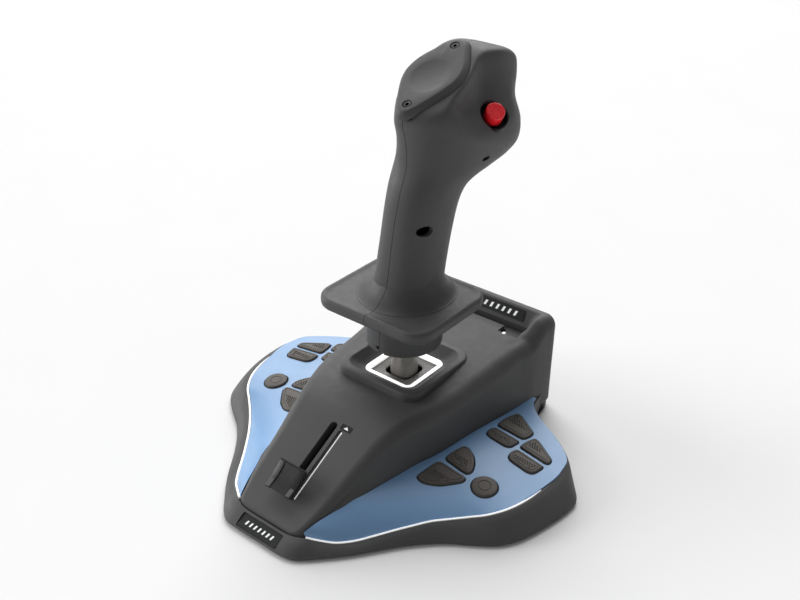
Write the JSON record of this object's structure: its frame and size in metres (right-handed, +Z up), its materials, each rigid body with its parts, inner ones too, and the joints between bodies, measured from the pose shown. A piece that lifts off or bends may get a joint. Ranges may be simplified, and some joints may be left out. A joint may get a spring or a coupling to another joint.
{
  "type": "flight joystick",
  "caption": "Desk flight joystick: sloping base with key wings and throttle slider, and a stick that pitches, rolls and twists under a curved grip with thumb button and trigger.",
  "frame": {"origin": "middle of the bounding box's bottom, on the surface the feet stand on", "axes": "+Z up, +Y away from the user towards the rear of the base, +X to the user's right; the base's middle plane is x = 0"},
  "size_m": [0.236, 0.2083, 0.229],
  "materials": {
    "charcoal_plastic": "fine satin grain",
    "blue_plastic": "satin",
    "light_guide": "milky, lit from inside",
    "key_plastic": "ribbed",
    "badge_plastic": "semi-gloss",
    "black_plastic": "smooth",
    "cover_steel": "black paint",
    "gimbal_metal": "cast",
    "spring_steel": "drawn wire",
    "screw_steel": "black oxide",
    "shaft_plastic": "satin",
    "red_plastic": "gloss",
    "foot_rubber": "matt",
    "circuit_board": "solder mask"
  },
  "bodies": {
    "base": {"tray": "charcoal_plastic", "bottom_cover": "cover_steel", "upper_housing": "charcoal_plastic", "side_panel_right": "blue_plastic", "side_panel_left": "blue_plastic", "light_strip_right": "light_guide", "light_strip_left": "light_guide", "nose_badge_plate": "badge_plastic", "rear_badge_plate": "badge_plastic", "gimbal_bezel": "charcoal_plastic", "gimbal_light_ring": "light_guide", "status_light": "light_guide", "slider_scale_line": "light_guide", "slider_potentiometer": "black_plastic", "usb_socket": "spring_steel", "main_board": "circuit_board", "key_board_right": "circuit_board", "key_board_left": "circuit_board", "foot_front_right": "foot_rubber", "foot_front_left": "foot_rubber", "foot_rear_right": "foot_rubber", "foot_rear_left": "foot_rubber", "gimbal_frame": "gimbal_metal", "pitch_return_spring": "spring_steel"},
    "pitch_yoke": {"pitch_yoke": "gimbal_metal", "roll_return_spring": "spring_steel"},
    "stick": {"roll_cradle": "gimbal_metal", "stick_shaft": "shaft_plastic", "twist_bushing": "black_plastic", "twist_return_spring": "spring_steel"},
    "grip": {"grip_shell_right": "charcoal_plastic", "grip_shell_left": "charcoal_plastic", "head_cap": "charcoal_plastic", "cap_screw_low": "screw_steel", "cap_screw_high": "screw_steel", "grip_screw": "screw_steel", "trigger_bracket": "gimbal_metal", "trigger_pin": "spring_steel", "grip_board": "circuit_board"},
    "red_button": {"red_button": "red_plastic"},
    "trigger": {"trigger": "black_plastic"},
    "slider_knob": {"slider_knob": "badge_plastic"},
    "dust_plate_guide": {"dust_plate_guide": "black_plastic"},
    "dust_plate": {"dust_plate": "charcoal_plastic"},
    "inner_rear_key_right": {"inner_rear_key_right": "key_plastic"},
    "inner_rear_key_left": {"inner_rear_key_left": "key_plastic"},
    "inner_front_key_right": {"inner_front_key_right": "key_plastic"},
    "inner_front_key_left": {"inner_front_key_left": "key_plastic"},
    "outer_rear_key_right": {"outer_rear_key_right": "key_plastic"},
    "outer_rear_key_left": {"outer_rear_key_left": "key_plastic"},
    "outer_front_key_right": {"outer_front_key_right": "key_plastic"},
    "outer_front_key_left": {"outer_front_key_left": "key_plastic"},
    "nose_side_key_right": {"nose_side_key_right": "key_plastic"},
    "nose_side_key_left": {"nose_side_key_left": "key_plastic"},
    "stick_side_key_right": {"stick_side_key_right": "key_plastic"},
    "stick_side_key_left": {"stick_side_key_left": "key_plastic"},
    "round_key_right": {"round_key_right": "key_plastic"},
    "round_key_left": {"round_key_left": "key_plastic"}
  },
  "joints": [
    {"name": "pitch", "type": "hinge", "parent": "base", "child": "pitch_yoke", "pos_m": [0, 0.022, 0.031], "axis": [1, 0, 0], "range_deg": [-16, 16], "stiffness_Nm_per_rad": 1.2},
    {"name": "roll", "type": "hinge", "parent": "pitch_yoke", "child": "stick", "pos_m": [0, 0.022, 0.031], "axis": [0, 1, 0], "range_deg": [-16, 16], "stiffness_Nm_per_rad": 1.2},
    {"name": "twist", "type": "hinge", "parent": "stick", "child": "grip", "pos_m": [0, 0.022, 0.031], "axis": [0, 0, 1], "range_deg": [-15, 15], "stiffness_Nm_per_rad": 0.3},
    {"name": "red_button_press", "type": "slide", "parent": "grip", "child": "red_button", "axis": [-0.5107, 0.3805, -0.771], "range_m": [0, 0.0025], "stiffness_N_per_m": 400},
    {"name": "trigger_pull", "type": "hinge", "parent": "grip", "child": "trigger", "pos_m": [0, 0.091, 0.2064], "axis": [-1, 0, 0], "range_deg": [0, 10], "stiffness_Nm_per_rad": 0.08},
    {"name": "slider", "type": "slide", "parent": "base", "child": "slider_knob", "axis": [0, 0.8788, 0.4772], "range_m": [0, 0.038]},
    {"name": "dust_guide_slide", "type": "slide", "parent": "base", "child": "dust_plate_guide", "axis": [0, 1, 0], "range_m": [-0.0045, 0.0045]},
    {"name": "dust_plate_slide", "type": "slide", "parent": "dust_plate_guide", "child": "dust_plate", "axis": [1, 0, 0], "range_m": [-0.0045, 0.0045]},
    {"name": "inner_rear_key_right_press", "type": "slide", "parent": "base", "child": "inner_rear_key_right", "axis": [0, 0, -1], "range_m": [0, 0.0012], "stiffness_N_per_m": 600},
    {"name": "inner_rear_key_left_press", "type": "slide", "parent": "base", "child": "inner_rear_key_left", "axis": [0, 0, -1], "range_m": [0, 0.0012], "stiffness_N_per_m": 600},
    {"name": "inner_front_key_right_press", "type": "slide", "parent": "base", "child": "inner_front_key_right", "axis": [0, 0, -1], "range_m": [0, 0.0012], "stiffness_N_per_m": 600},
    {"name": "inner_front_key_left_press", "type": "slide", "parent": "base", "child": "inner_front_key_left", "axis": [0, 0, -1], "range_m": [0, 0.0012], "stiffness_N_per_m": 600},
    {"name": "outer_rear_key_right_press", "type": "slide", "parent": "base", "child": "outer_rear_key_right", "axis": [0, 0, -1], "range_m": [0, 0.0012], "stiffness_N_per_m": 600},
    {"name": "outer_rear_key_left_press", "type": "slide", "parent": "base", "child": "outer_rear_key_left", "axis": [0, 0, -1], "range_m": [0, 0.0012], "stiffness_N_per_m": 600},
    {"name": "outer_front_key_right_press", "type": "slide", "parent": "base", "child": "outer_front_key_right", "axis": [0, 0, -1], "range_m": [0, 0.0012], "stiffness_N_per_m": 600},
    {"name": "outer_front_key_left_press", "type": "slide", "parent": "base", "child": "outer_front_key_left", "axis": [0, 0, -1], "range_m": [0, 0.0012], "stiffness_N_per_m": 600},
    {"name": "nose_side_key_right_press", "type": "slide", "parent": "base", "child": "nose_side_key_right", "axis": [0, 0, -1], "range_m": [0, 0.0012], "stiffness_N_per_m": 600},
    {"name": "nose_side_key_left_press", "type": "slide", "parent": "base", "child": "nose_side_key_left", "axis": [0, 0, -1], "range_m": [0, 0.0012], "stiffness_N_per_m": 600},
    {"name": "stick_side_key_right_press", "type": "slide", "parent": "base", "child": "stick_side_key_right", "axis": [0, 0, -1], "range_m": [0, 0.0012], "stiffness_N_per_m": 600},
    {"name": "stick_side_key_left_press", "type": "slide", "parent": "base", "child": "stick_side_key_left", "axis": [0, 0, -1], "range_m": [0, 0.0012], "stiffness_N_per_m": 600},
    {"name": "round_key_right_press", "type": "slide", "parent": "base", "child": "round_key_right", "axis": [0, 0, -1], "range_m": [0, 0.0012], "stiffness_N_per_m": 600},
    {"name": "round_key_left_press", "type": "slide", "parent": "base", "child": "round_key_left", "axis": [0, 0, -1], "range_m": [0, 0.0012], "stiffness_N_per_m": 600}
  ],
  "couplings": [
    {"joint": "dust_guide_slide", "follows": "pitch", "m_per_rad": -0.0126},
    {"joint": "dust_plate_slide", "follows": "roll", "m_per_rad": 0.0126}
  ]
}
